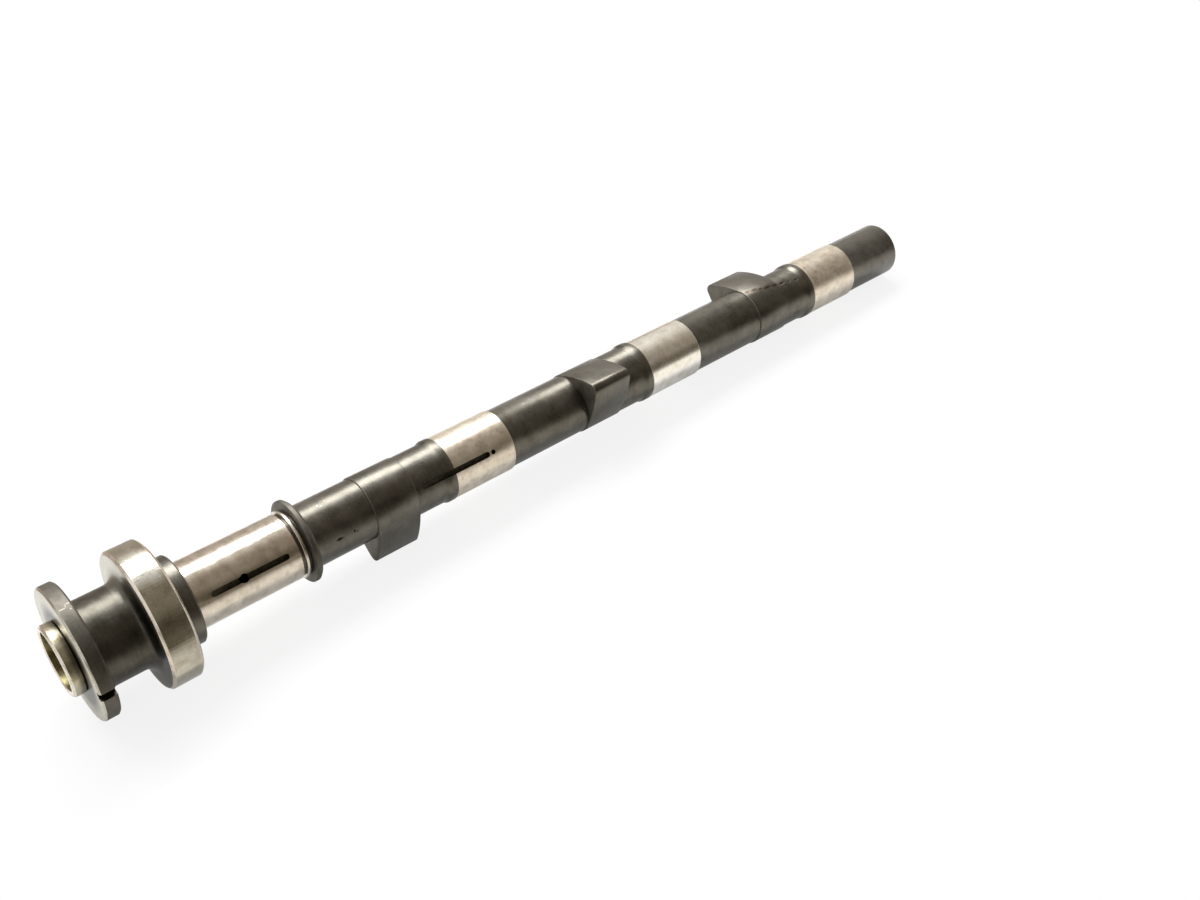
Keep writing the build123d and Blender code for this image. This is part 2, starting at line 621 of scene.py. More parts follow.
    def _outward(self, tree: Tree, place: Socket, colour: Socket) -> Socket:
        """Turns the colour into the outer one with the distance from a line along the shaft. The darker
        colour near that line paints shade at the faces' roots, low on the camera's side and deep in the
        grooves; on the flange and in the grooves, old oil darkens it too.

        Args:
            tree: The material's tree.
            place: The surface's place.
            colour: The colour near the axis.

        Returns:
            The colour's socket.
        """
        far_side, up = (value * MM for value in self.outer_middle)
        shifted = tree.add("VectorMath", {0: place, 1: (0.0, far_side, up)}, operation="SUBTRACT")
        across = tree.add("VectorMath", {0: shifted.outputs[0], 1: (0.0, 1.0, 1.0)}, operation="MULTIPLY")
        radius = tree.add("VectorMath", {0: across.outputs[0]}, operation="LENGTH").outputs["Value"]
        inner, outer = (value * MM for value in self.outer_radii)
        spread = {"Value": radius, "From Min": inner, "From Max": outer}
        share = tree.add("MapRange", spread).outputs["Result"]
        both = {MIX_SHARE: share, MIX_FIRST: colour, MIX_SECOND: linear(self.outer_colour)}
        return tree.add("Mix", both, data_type="RGBA").outputs[MIX_RESULT]

    def _roughness(self, tree: Tree, patterns: Patterns) -> Socket:
        """Roughness that wanders about its middle with the blotches and the grain.

        Args:
            tree: The material's tree.
            patterns: The finish's patterns.

        Returns:
            The roughness's socket.
        """
        both = tree.add("Math", {0: patterns.blotches, 1: patterns.grain}, operation="ADD").outputs[0]
        low, high = LOOK.roughness_range
        smooth, dull = self.roughness - self.roughness_spread, self.roughness + self.roughness_spread
        wander = {"Value": both, "From Min": low, "From Max": high, "To Min": smooth, "To Max": dull}
        return tree.add("MapRange", wander).outputs["Result"]


SHAFT_PITS = (
    Mark(105.6, 12.4, 12.9, 0.8, (0.5, 1.0, 1.3)),
    Mark(112.2, 13.6, 12.9, 0.6),
    Mark(113.4, 10.5, 12.9, 0.35),
    Mark(214.0, 30.0, 12.9, 0.4),
    Mark(318.5, 62.0, 12.9, 0.4),
    Mark(322.0, 48.0, 12.9, 0.35),
    Mark(357.4, 69.5, 12.9, 0.6, (0.35, 1.0, 1.0)),
    Mark(361.5, 66.0, 12.9, 0.4, (0.5, 1.0, 1.0)),
    Mark(366.0, 62.5, 12.9, 0.5, (0.4, 1.0, 1.0)),
)
LOBE_SMEARS = (
    Mark(337.5, 87.0, 13.35, 0.8, (0.5, 1.0, 1.0)),
    Mark(341.5, 84.0, 13.35, 0.9, (0.35, 1.0, 1.0)),
    Mark(344.6, 79.5, 13.35, 0.8, (0.5, 1.0, 1.0)),
    Mark(348.4, 75.5, 13.35, 1.0, (0.35, 1.0, 1.0)),
    Mark(352.8, 72.0, 13.35, 0.9, (0.4, 1.0, 1.0)),
)
SHAFT_SCUFFS = (
    Mark(104.0, 84.0, 12.9, 0.28, (1.0, 1.0, 2.0)),
    Mark(105.2, 80.0, 12.9, 0.2),
    Mark(107.5, 87.0, 12.9, 0.22),
    Mark(108.6, 82.0, 12.9, 0.16),
    Mark(203.0, 85.0, 12.9, 0.3, (0.6, 1.0, 1.0)),
    Mark(206.5, 89.0, 12.9, 0.22),
    Mark(227.6, 20.0, 12.9, 0.35),
)
RIM_SCUFFS = (
    Mark(6.9, 77.5, 25.9, 0.9, (0.6, 4.0, 4.0)),
    Mark(8.3, 79.2, 25.9, 0.6, (3.4, 1.2, 1.2)),
    Mark(9.3, 80.6, 25.9, 0.8, (0.8, 4.0, 4.0)),
    Mark(9.4, 75.0, 25.9, 0.35, (1.0, 1.4, 1.4)),
)

# Turned face in front of the ring, and its root: pale at the rim above, with painted shade darkening it
# below, on the camera's side and in the fillet at the hub.
SHADE_PAINTED_FACE = SteelFinish(
    name="painted_shade_face", colour="605d55", shade="4c4a42", stain="383630", blotch_size=8.0,
    roughness=0.32, roughness_spread=0.04, grain_height=0.005, line_height=0.001,
    outer_colour="c1bcae", outer_radii=(20.0, 27.0), outer_middle=(-4.0, -3.0),
)

FINISHES = {
    # Forged steel under a dark phosphate coat: a satin, warm grey-black skin whose highlights spread softly.
    Finish.FORGED: SteelFinish(
        name="phosphated_forged_steel", colour="716e66", shade="5d5a52", stain="4a4740", stain_share=0.35,
        blotch_size=7.0, roughness=0.32, grain_height=0.02, line_spacing=0.6, line_height=0.003,
        pits=SHAFT_PITS, scuffs=SHAFT_SCUFFS, scuff_colour="a39c92",
    ),
    # Turned steel, blackened: darker than the forged skin, with faint rings and one broad highlight. The
    # undercut, the relief grooves and the notch get it too, as painted shade in them.
    Finish.HUB: SteelFinish(
        name="blackened_steel_and_recess_shade", colour="605d55", shade="4c4a42", stain="383630", blotch_size=8.0,
        roughness=0.33, grain_height=0.016, line_spacing=0.5, line_height=0.003,
    ),
    # Turned steel left satin: an even mid-grey with a dull sheen, scratched where it was gripped.
    Finish.RIM: SteelFinish(
        name="satin_turned_steel", colour="716d65", shade="5e5b53", stain="4b4840", blotch_size=7.0,
        roughness=0.54, roughness_spread=0.06, grain_size=0.7, grain_height=0.01, line_height=0.003,
        scuffs=RIM_SCUFFS, scuff_colour="a8a298",
    ),
    # Fine-turned steel: a smooth greenish grey that mirrors in clear bands.
    Finish.RING: SteelFinish(
        name="fine_turned_ring_steel", colour="c8c3b6", shade="aeaa9b", stain="8a8270", stain_share=0.45,
        blotch_size=9.0, roughness=0.19, roughness_spread=0.04, grain_height=0.0008, line_height=0.0008,
    ),
    # Ground bearing steel, kept oiled: the brightest wide surface, beige in its shade and white in its light.
    Finish.GROUND: SteelFinish(
        name="ground_bearing_steel", colour="e4dccf", shade="cfc5b6", stain="a99b88", blotch_size=6.0,
        roughness=0.19, grain_height=0.0008, line_spacing=0.3, line_height=0.0006,
    ),
    # Ground bearing steel that has run bright: a lighter, greyer mirror with a crisp edge to its shade.
    Finish.POLISHED: SteelFinish(
        name="polished_bearing_steel", colour="f3f0e8", shade="e4e0d6", stain="c2baab", stain_share=0.35,
        blotch_size=7.0, roughness=0.18, roughness_spread=0.04, grain_height=0.0006, line_spacing=0.3,
        line_height=0.0006,
    ),
    # Ground bearing steel that has run and dulled: cream, mottled, with softer highlights.
    Finish.WORN: SteelFinish(
        name="worn_bearing_steel", colour="ebe3d5", shade="d3c8b6", stain="a99c88", blotch_size=4.5,
        roughness=0.33, roughness_spread=0.04, grain_size=1.2, grain_height=0.004, line_height=0.002,
    ),
    # Bare turned edges: thin bright lines where two surfaces meet.
    Finish.EDGE: SteelFinish(
        name="bright_turned_edge", colour="e6ddd0", shade="d3c9ba", stain="ab9f8e", blotch_size=5.0,
        roughness=0.26, grain_size=0.6, grain_height=0.001, line_spacing=0.3, line_height=0.0006,
    ),
    # Hardened steel of the cam track, ground and run dark: close to the forged skin, a little smoother.
    Finish.LOBE: SteelFinish(
        name="ground_lobe_steel", colour="706d65", shade="5f5c54", stain="4b4841", stain_share=0.35,
        blotch_size=8.0, roughness=0.3, roughness_spread=0.03, grain_height=0.01, line_height=0.002,
        pits=LOBE_SMEARS, pit_colour="3b2c22", pit_depth=0.02,
    ),
    # Turned steel under an old oil film: grey-olive, with small bright glints.
    Finish.PILOT: SteelFinish(
        name="oiled_turned_steel", colour="cdc7b2", shade="ada68f", stain="857d5a", stain_share=0.6,
        blotch_size=5.0, roughness=0.31, roughness_spread=0.04, grain_size=0.8, grain_height=0.002,
        line_spacing=0.3, line_height=0.0015,
    ),
    # Bored steel with oil stains: dark olive yellow inside the nose.
    Finish.BORE: SteelFinish(
        name="oiled_bored_steel", colour="948b66", shade="6d6645", stain="474326", stain_share=0.6,
        blotch_size=5.0, roughness=0.3, roughness_spread=0.06, grain_size=0.8, grain_height=0.002,
        line_height=0.002,
    ),
    # Milled grooves and drilled holes, darkened by old oil and by painted shade in the recess: almost black,
    # browner where they come up shallow.
    Finish.OIL: SteelFinish(
        name="oil_and_shade_darkened_groove", colour="57554a", shade="434138", stain="292822", stain_share=0.7,
        blotch_size=2.5, roughness=0.45, roughness_spread=0.08, grain_size=0.5, grain_height=0.03,
        line_spacing=0.5, line_height=0.002, outer_colour="5c594e", outer_radii=(12.5, 13.7),
    ),
    # The ring's face and fillet, with painted shade below and at the root.
    Finish.FACE: SHADE_PAINTED_FACE,
    # Turned face of the nose flange: pale, with a dark ring round the pilot that reaches further out on the
    # camera's side, part old oil and part painted shade at its root.
    Finish.FLANGE: replace(
        SHADE_PAINTED_FACE, name="oil_and_shade_ringed_flange_face", outer_radii=(17.0, 22.0), outer_middle=(-1.5, 0.0)
    ),
}


@dataclass
class FinishSet:
    """Every finish's material, built once and given to each piece in the same slots."""

    materials: dict[Finish, bpy.types.Material] = field(default_factory=dict)

    def build(self, origin_station: float) -> None:
        """Builds the materials, with their marks placed from the origin's station."""
        self.materials = {finish: FINISHES[finish].material(origin_station) for finish in Finish}

    def give(self, piece: bpy.types.Object, choose: Callable[[bpy.types.MeshPolygon], Finish]) -> None:
        """Fills a piece's slots and gives each of its faces a finish.

        Args:
            piece: The piece to dress.
            choose: Names the finish of one face.
        """
        piece.data.materials.clear()
        for finish in Finish:
            piece.data.materials.append(self.materials[finish])
        for face in piece.data.polygons:
            face.material_index = choose(face).value

    def coat(self, piece: bpy.types.Object, finish: Finish) -> None:
        """Gives all of a piece's faces one finish."""
        self.give(piece, lambda face: finish)


@dataclass
class TurnedBody:
    """The turned shaft from nose to rear end, spun from its half outline.

    Lengths are in millimetres and angles in degrees.
    """

    finishes: FinishSet
    sizes: ShaftSizes = field(default_factory=ShaftSizes)
    spin_steps: int = 128
    corner_round: float = 0.1
    lip_rise: float = 2.6
    lip_steps: int = 8
    sharp_angle: float = 25.0
    merge_distance: float = 0.002
    near: float = 0.12
    journal_finishes: tuple[Finish, ...] = (Finish.WORN, Finish.POLISHED, Finish.WORN)

    def build(self) -> bpy.types.Object:
        """Spins the outline round the shaft's axis and rounds its corners.

        Returns:
            The shaft's mesh object, with its place in its mesh.
        """
        piece = self._outline_piece()
        full_turn = {"angle": 2 * math.pi, "center": (0, 0, 0), "axis": (1, 0, 0)}
        with mesh_editing():
            bpy.ops.mesh.spin(steps=self.spin_steps, use_auto_merge=True, **full_turn)
            bpy.ops.mesh.select_all(action="SELECT")
            bpy.ops.mesh.remove_doubles(threshold=self.merge_distance * MM)
            round_edges(self.sharp_angle, self.corner_round, segments=2, clamp_overlap=True)
        self.finishes.give(piece, self.finish_of)
        return piece

    def finish_of(self, face: bpy.types.MeshPolygon) -> Finish:
        """The finish of one face of the turned body.

        Args:
            face: The face, whose middle and normal tell its zone.

        Returns:
            The finish of that zone.
        """
        s = self.sizes
        station = face.center.x / MM + s.origin_station
        radius = math.hypot(face.center.y, face.center.z) / MM
        near = self.near
        if station < s.gallery_end + near and radius < s.gallery_radius + near:
            return Finish.BORE
        if near < station < s.gallery_end and radius < s.bore_radius + near:
            return Finish.BORE
        # The flange's front face and the ring's face with its fillet get finishes that paint shade near their
        # roots.
        if abs(station - s.flange_front) < near:
            return Finish.FLANGE
        if s.ring_front - s.ring_fillet < station < s.ring_front + near:
            return Finish.FACE
        for until, finish in self._zones():
            if station < until:
                return finish
        return Finish.FORGED

    def _zones(self) -> list[tuple[float, Finish]]:
        """The outside's zones from the nose on, each with the station where it ends.

        Returns:
            End stations and finishes in order.
        """
        s, near = self.sizes, self.near
        zones = [
            (s.nose_bevel, Finish.EDGE),
            (s.nose_length, Finish.PILOT),
            # Painted shade: the undercut behind the pilot gets the dark hub finish.
            (s.flange_front - near, Finish.HUB),
            (s.flange_front + s.flange_bevel, Finish.RING),
            (s.hub_front - near, Finish.RIM),
            (s.ring_front + near, Finish.HUB),
            (s.ring_front + s.ring_bevel, Finish.EDGE),
            (s.shoulder_front - s.ring_bevel, Finish.RING),
            (s.shoulder_front - near, Finish.EDGE),
            (s.front_journal_start + near, Finish.FORGED),
            (s.front_journal_end, Finish.GROUND),
            # Painted shade: the relief groove in front of the seal ridge gets the dark hub finish.
            (s.ridge_front, Finish.HUB),
            (s.ridge_front + s.ridge_width, Finish.EDGE),
            # Painted shade: the relief groove behind the seal ridge gets the dark hub finish.
            (s.thrust_front - near, Finish.HUB),
            (s.thrust_rear - near, Finish.RIM),
        ]
        for (start, end), finish in zip(s.journal_spans, self.journal_finishes):
            zones += [(start, Finish.FORGED), (end + near, finish)]
        return zones

    def _outline_piece(self) -> bpy.types.Object:
        """The half outline as a chain of edges in the XZ plane, ready to spin.

        Returns:
            The active object that holds the chain.
        """
        points = self.outline()
        circle = {"vertices": len(points), "radius": MM, "fill_type": "NOTHING"}
        piece = add_object("shaft_body", bpy.ops.mesh.primitive_circle_add, **circle)
        for vertex, (station, radius) in zip(piece.data.vertices, points):
            vertex.co = ((station - self.sizes.origin_station) * MM, 0.0, radius * MM)
        last = len(points) - 1
        bpy.ops.object.mode_set(mode="EDIT")
        bpy.ops.mesh.select_all(action="DESELECT")
        bpy.ops.object.mode_set(mode="OBJECT")
        for edge in piece.data.edges:
            edge.select = set(edge.vertices) == {0, last}
        bpy.ops.object.mode_set(mode="EDIT")
        bpy.ops.mesh.select_mode(type="EDGE")
        bpy.ops.mesh.delete(type="EDGE")
        bpy.ops.mesh.select_mode(type="VERT")
        bpy.ops.object.mode_set(mode="OBJECT")
        return piece

    def outline(self) -> list[Point]:
        """Half outline from the gallery's end, out of the bore and along the outside to the rear end.

        Returns:
            Stations and radii in millimetres.
        """
        return self._bore() + self._front_steps() + self._rear_steps() + [(self.sizes.shaft_end, 0.0)]

    def _bore(self) -> list[Point]:
        """The gallery, the drill point and the bore, from the inside out.

        Returns:
            Their points of the half outline.
        """
        s = self.sizes
        point_depth = (s.bore_radius - s.gallery_radius) / math.tan(math.radians(s.drill_point_angle / 2))
        return [
            (s.gallery_end, 0.0),
            (s.gallery_end, s.gallery_radius),
            (s.bore_depth + point_depth, s.gallery_radius),
            (s.bore_depth, s.bore_radius),
            (s.bore_bevel, s.bore_radius),
            (0.0, s.bore_radius + s.bore_bevel),
        ]

    def _front_steps(self) -> list[Point]:
        """The outside from the nose end to the thrust flange.

        Returns:
            Its points of the half outline.
        """
        s = self.sizes
        relief = s.journal_radius - s.relief_depth
        ridge = s.journal_radius + s.ridge_height
        ridge_rear = s.ridge_front + s.ridge_width
        undercut_rear = s.flange_front - s.undercut_slope_width
        points = land(0.0, s.nose_length, s.nose_radius, s.nose_bevel)
        points += land(s.nose_length, undercut_rear, s.nose_radius - s.undercut_depth)
        points += [(s.flange_front, s.nose_radius + s.face_clearance)]
        points += land(s.flange_front, s.hub_front, s.flange_radius, s.flange_bevel, s.flange_bevel)
        points += cove(s.hub_front, s.hub_radius, s.hub_fillet, opens_forward=False)
        points += cove(s.ring_front, s.hub_radius, s.ring_fillet, opens_forward=True)
        points += land(s.ring_front, s.shoulder_front, s.ring_radius, s.ring_bevel, s.ring_bevel)
        points += land(s.shoulder_front, s.front_journal_start, s.shoulder_radius, 0.0, s.shoulder_bevel)
        points += land(s.front_journal_start, s.front_journal_end, s.journal_radius, 0.0, s.journal_bevel)
        points += land(s.front_journal_end, s.ridge_front, relief)
        points += land(s.ridge_front, ridge_rear, ridge, s.ridge_bevel, s.ridge_bevel)
        points += land(ridge_rear, s.thrust_front, relief)
        bevels = (s.thrust_front_bevel, s.thrust_rear_bevel)
        return points + land(s.thrust_front, s.thrust_rear, s.thrust_radius, *bevels)

    def _rear_steps(self) -> list[Point]:
        """The outside from the thrust flange to the rear end.

        Returns:
            Its points of the half outline.
        """
        s = self.sizes
        points = []
        waist_start = s.thrust_rear
        for lip_front, (journal_front, journal_rear) in zip(s.lip_fronts, s.journal_spans):
            points += [(waist_start, s.waist_radius)] + self._lip_rise(lip_front)
            points += land(lip_front, journal_front, s.journal_radius + s.lip_height, 0.0, s.lip_height)[1:]
            points += land(journal_front, journal_rear, s.journal_radius, 0.0, s.journal_bevel)[1:]
            waist_start = journal_rear
        return points + land(waist_start, s.shaft_end, s.waist_radius, 0.0, s.rear_bevel)

    def _lip_rise(self, lip_front: float) -> list[Point]:
        """The soft rise from the waist onto a lip, in the middle of which the solid has its step.

        Args:
            lip_front: Station of the lip's front.

        Returns:
            Points from the waist's radius to the lip's.
        """
        s = self.sizes
        height = s.journal_radius + s.lip_height - s.waist_radius
        points = []
        for index in range(self.lip_steps + 1):
            share = index / self.lip_steps
            risen = height * (1 - math.cos(math.pi * share)) / 2
            points.append((lip_front + (share - 0.5) * self.lip_rise, s.waist_radius + risen))
        return points


@dataclass
class CamLobe:
    """One cam lobe: base circle, two flank arcs and a small nose, in millimetres and degrees."""

    name: str
    front: float
    angle: float
    origin_station: float
    width: float
    finishes: FinishSet
    sizes: LobeSizes = field(default_factory=LobeSizes)
    base_points: int = 60
    flank_points: int = 26
    nose_points: int = 20
    edge_angle: float = 60.0
    side_slant: float = 0.05

    def build(self) -> bpy.types.Object:
        """Draws the outline, extrudes it along the shaft and rounds its edges.

        Returns:
            The lobe's mesh object.
        """
        outline = self.outline()
        circle = {"vertices": len(outline), "radius": MM, "fill_type": "NGON"}
        piece = add_object(self.name, bpy.ops.mesh.primitive_circle_add, **circle)
        axis_up = outward(self.angle)
        axis_side = Vector((1, 0, 0)).cross(axis_up)
        start = Vector(((self.front - self.origin_station) * MM, 0, 0))
        for vertex, (side, up) in zip(piece.data.vertices, outline):
            vertex.co = start + axis_side * (side * MM) + axis_up * (up * MM)
        with mesh_editing():
            bpy.ops.mesh.extrude_region_move(TRANSFORM_OT_translate={"value": (self.width * MM, 0, 0)})
            round_edges(self.edge_angle, self.sizes.edge_bevel, segments=3)
        self.finishes.give(piece, self.finish_of)
        return piece

    def finish_of(self, face: bpy.types.MeshPolygon) -> Finish:
        """Ground on the cam's track, and satin on its sides and rounded edges."""
        return Finish.LOBE if abs(face.normal.x) < self.side_slant else Finish.RIM

    def outline(self) -> list[Point]:
        """The cam outline with its nose up, counter-clockwise.

        Returns:
            Side and height of each point in millimetres.
        """
        s = self.sizes
        nose_offset = s.base_radius + s.lift - s.nose_radius
        to_base = s.flank_radius - s.base_radius
        to_nose = s.flank_radius - s.nose_radius
        height = (nose_offset**2 + to_base**2 - to_nose**2) / (2 * nose_offset)
        side = math.sqrt(to_base**2 - height**2)
        base_angle = math.atan2(-height, side)
        nose_angle = math.atan2(nose_offset - height, side)
        right = arc((-side, height), s.flank_radius, base_angle, nose_angle, self.flank_points)
        nose = arc((0, nose_offset), s.nose_radius, nose_angle, math.pi - nose_angle, self.nose_points)
        nose_end, base_start = math.pi - nose_angle, math.pi - base_angle
        left = arc((side, height), s.flank_radius, nose_end, base_start, self.flank_points)
        base = arc((0, 0), s.base_radius, base_start, 2 * math.pi + base_angle, self.base_points)
        return right + nose + left + base


@dataclass(frozen=True)
class CutSizes:
    """Sizes of the notch, the oil grooves and the oil holes, in millimetres and degrees."""

    notch_width: float = 3.2
    notch_depth: float = 2.6
    notch_angle: float = 180.0
    oil_angle: float = 152.2
    groove_width: float = 2.4
    groove_depth: float = 1.5
    front_groove_length: float = 31.4
    front_groove_inset: float = 6.1
    oil_hole_radius: float = 1.8
    oil_hole_inset: float = 13.2
    second_groove_lead: float = 11.4
    second_groove_length: float = 32.4
    groove_run_out: float = 9.0
    groove_end_depth: float = 0.35
    feed_hole_radius: float = 1.0
    feed_hole_gap: float = 1.8
    clearance: float = 1.0


@dataclass
class CuttingTools:
    """The tools that cut the notch, the oil grooves and the oil holes out of the body."""

    finishes: FinishSet
    shaft: ShaftSizes = field(default_factory=ShaftSizes)
    cuts: CutSizes = field(default_factory=CutSizes)
    round_points: int = 32

    def build(self) -> list[bpy.types.Object]:
        """Builds every cutting tool at its place.

        Returns:
            The tools' mesh objects.
        """
        s, c = self.shaft, self.cuts
        front_start = s.front_journal_start + c.front_groove_inset
        second_start = s.lip_fronts[0] - c.second_groove_lead
        feed_station = second_start + c.second_groove_length + c.feed_hole_gap
        notch = self._notch()
        oil_tools = [
            self._groove("front_groove_tool", front_start, c.front_groove_length, s.journal_radius),
            self._groove("second_groove_tool", second_start, c.second_groove_length, s.waist_radius),
            self._hole("oil_hole_tool", front_start + c.oil_hole_inset, c.oil_hole_radius),
            self._hole("feed_hole_tool", feed_station, c.feed_hole_radius),
        ]
        # Painted shade: the notch's cut faces get the dark hub finish.
        self.finishes.coat(notch, Finish.HUB)
        for tool in oil_tools:
            self.finishes.coat(tool, Finish.OIL)
        return [notch] + oil_tools

    def _lay(self, piece: bpy.types.Object, station: float, angle: float, radius: float) -> None:
        """Lays a tool built round the origin on the shaft, its own Z facing out and its X along the shaft.

        Args:
            piece: The tool.
            station: Station of the tool's middle.
            angle: Angle round the shaft in degrees.
            radius: Distance of the tool's middle from the axis.
        """
        along, out = Vector((1, 0, 0)), outward(angle)
        basis = Matrix((along, out.cross(along), out)).transposed().to_4x4()
        place = Vector(((station - self.shaft.origin_station) * MM, 0, 0)) + out * (radius * MM)
        piece.data.transform(Matrix.Translation(place) @ basis)

    def _groove(self, name: str, start: float, length: float, front_radius: float) -> bpy.types.Object:
        """A round-ended slot cutter whose floor lies at the groove's depth and runs out at the front end.

        Args:
            name: The tool's name.
            start: Station where the groove starts.
            length: The groove's whole length.
            front_radius: Radius of the surface in which the groove starts.

        Returns:
            The tool's mesh object.
        """
        c = self.cuts
        half_run = (length - c.groove_width) / 2 * MM
        run_out = (c.groove_run_out - length / 2) * MM
        rise = (front_radius - self.shaft.journal_radius + c.groove_depth - c.groove_end_depth) * MM
        radius, height = c.groove_width / 2 * MM, 2 * c.groove_depth * MM
        cylinder = {"vertices": self.round_points, "radius": radius, "depth": height}
        piece = add_object(name, bpy.ops.mesh.primitive_cylinder_add, **cylinder)
        for vertex in piece.data.vertices:
            vertex.co.x += math.copysign(half_run, vertex.co.x)
        with mesh_editing():
            bpy.ops.mesh.bisect(plane_co=(run_out, 0, 0), plane_no=(1, 0, 0))
        for vertex in piece.data.vertices:
            if vertex.co.z < 0 and vertex.co.x < -half_run + c.groove_width * MM:
                vertex.co.z += rise
        self._lay(piece, start + length / 2, c.oil_angle, self.shaft.journal_radius)
        return piece

    def _hole(self, name: str, station: float, radius: float) -> bpy.types.Object:
        """A drill from the axis out through the journal's surface.

        Args:
            name: The tool's name.
            station: Station of the hole.
            radius: The hole's radius.

        Returns:
            The tool's mesh object.
        """
        reach = self.shaft.journal_radius + self.cuts.clearance
        cylinder = {"vertices": self.round_points, "radius": radius * MM, "depth": reach * MM}
        piece = add_object(name, bpy.ops.mesh.primitive_cylinder_add, **cylinder)
        self._lay(piece, station, self.cuts.oil_angle, reach / 2)
        return piece

    def _notch(self) -> bpy.types.Object:
        """A square cutter across the rim of the nose flange, which stands out of it on every open side.

        Returns:
            The tool's mesh object.
        """
        s, c = self.shaft, self.cuts
        piece = add_object("notch_tool", bpy.ops.mesh.primitive_cube_add, size=1.0)
        size = (2 * s.flange_thickness * MM, c.notch_width * MM, 2 * c.notch_depth * MM)
        piece.data.transform(Matrix.Diagonal(size).to_4x4())
        self._lay(piece, s.flange_front + s.flange_thickness / 2, c.notch_angle, s.flange_radius)
        return piece


@dataclass
class Camshaft:
    """The whole camshaft: the turned body with its lobes joined on and its cuts made.

    The merge distance and the width of a sliver are in millimetres, the smooth angle in degrees.
    """

    shaft: ShaftSizes = field(default_factory=ShaftSizes)
    lobe: LobeSizes = field(default_factory=LobeSizes)
    finishes: FinishSet = field(default_factory=FinishSet)
    smooth_angle: float = 32.0
    merge_distance: float = 0.002
    sliver: float = 0.001

    def build(self) -> bpy.types.Object:
        """Models the shaft as one body.

        Returns:
            The finished and dressed piece.
        """
        self.finishes.build(self.shaft.origin_station)
        body = TurnedBody(self.finishes, self.shaft).build()
        for lobe in self._lobes():
            self._combine(body, lobe.build(), "UNION")
        for tool in CuttingTools(self.finishes, self.shaft).build():
            self._combine(body, tool, "DIFFERENCE")
        self._clean(body)
        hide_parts(NODE)
        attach(body, "root")
        return body

    def _lobes(self) -> list[CamLobe]:
        """The three lobes, each a third of a turn on from the last.

        Returns:
            The lobes from the nose on.
        """
        s = self.shaft
        return [
            CamLobe(
                name=f"lobe_{index + 1}",
                front=front,
                angle=self.lobe.first_angle + index * self.lobe.turn,
                origin_station=s.origin_station,
                width=s.lobe_width,
                finishes=self.finishes,
                sizes=self.lobe,
            )
            for index, front in enumerate(s.lobe_fronts)
        ]

    def _combine(self, body: bpy.types.Object, other: bpy.types.Object, operation: str) -> None:
        """Joins another mesh to the body or cuts it out, and removes that mesh.

        Args:
            body: The shaft's body, which changes.
            other: The mesh that is joined or cut.
            operation: UNION or DIFFERENCE.
        """
        make_active(body)
        modifier = body.modifiers.new(other.name, "BOOLEAN")
        modifier.operation = operation
        modifier.solver = "EXACT"
        modifier.object = other
        bpy.ops.object.modifier_apply(modifier=modifier.name)
        bpy.data.objects.remove(other)

    def _clean(self, body: bpy.types.Object) -> None:
        """Merges what the cuts left double, then shades round faces smooth and keeps the edges crisp.

        Args:
            body: The shaft's body, which changes.
        """
        make_active(body)
        with mesh_editing():
            bpy.ops.mesh.remove_doubles(threshold=self.merge_distance * MM)
            bpy.ops.mesh.dissolve_degenerate(threshold=self.sliver * MM)
        bpy.ops.object.shade_smooth_by_angle(angle=math.radians(self.smooth_angle))


@dataclass(frozen=True)
class CameraPlace:
    """The camera as it stood, worked out from the perspective of the shaft's own circles, in millimetres."""

    from_nose_end: Triple = (-54.7, -346.2, 325.6)
    looks_along: Triple = (0.5161, 0.5935, -0.6176)
    right: Triple = (0.7546, -0.6562, 0.0)
    lens: float = 38.25
    sensor_width: float = 36.0
    sees_from: float = 10.0


@dataclass(frozen=True)
class Tone:
    """What the metal mirrors at one angle, in degrees from the camera's side upwards."""

    angle: float
    colour: str
    strength: float = 1.0


@dataclass(frozen=True)
class TentColumn:
    """A place along X in metres, with the rear end's share of the tones of the arch and of the foot."""

    along: float
    arch_share: float
    foot_share: float


@dataclass(frozen=True)
class TentRow:
    """One line along the tent: its side at the nose and at the rear end in metres, and its tone's angle.

    A row with no height lies just over the floor.
    """

    nose_side: float
    rear_side: float
    angle: float
    height: float = 0.0


@dataclass(frozen=True)
class FloorLine:
    """The floor's line under the shaft: through the lowest points of the drive ring and of the rear end."""

    shaft: ShaftSizes

    @property
    def ring_point(self) -> Vector:
        """Where the drive ring touches the floor, in metres."""
        s = self.shaft
        return Vector(((s.shoulder_front - s.ring_bevel - s.origin_station) * MM, 0, -s.ring_radius * MM))

    @property
    def pitch(self) -> float:
        """How far the floor rises towards the rear end, in radians.

        Returns:
            The angle, above zero where the rear end is higher.
        """
        s = self.shaft
        rear = Vector(((s.shaft_end - s.rear_bevel - s.origin_station) * MM, 0, -s.waist_radius * MM))
        along = rear - self.ring_point
        return math.atan2(along.z, along.x)

    def height(self, along: float) -> float:
        """Height of the floor at a place along X, in metres."""
        return self.ring_point.z + (along - self.ring_point.x) * math.tan(self.pitch)


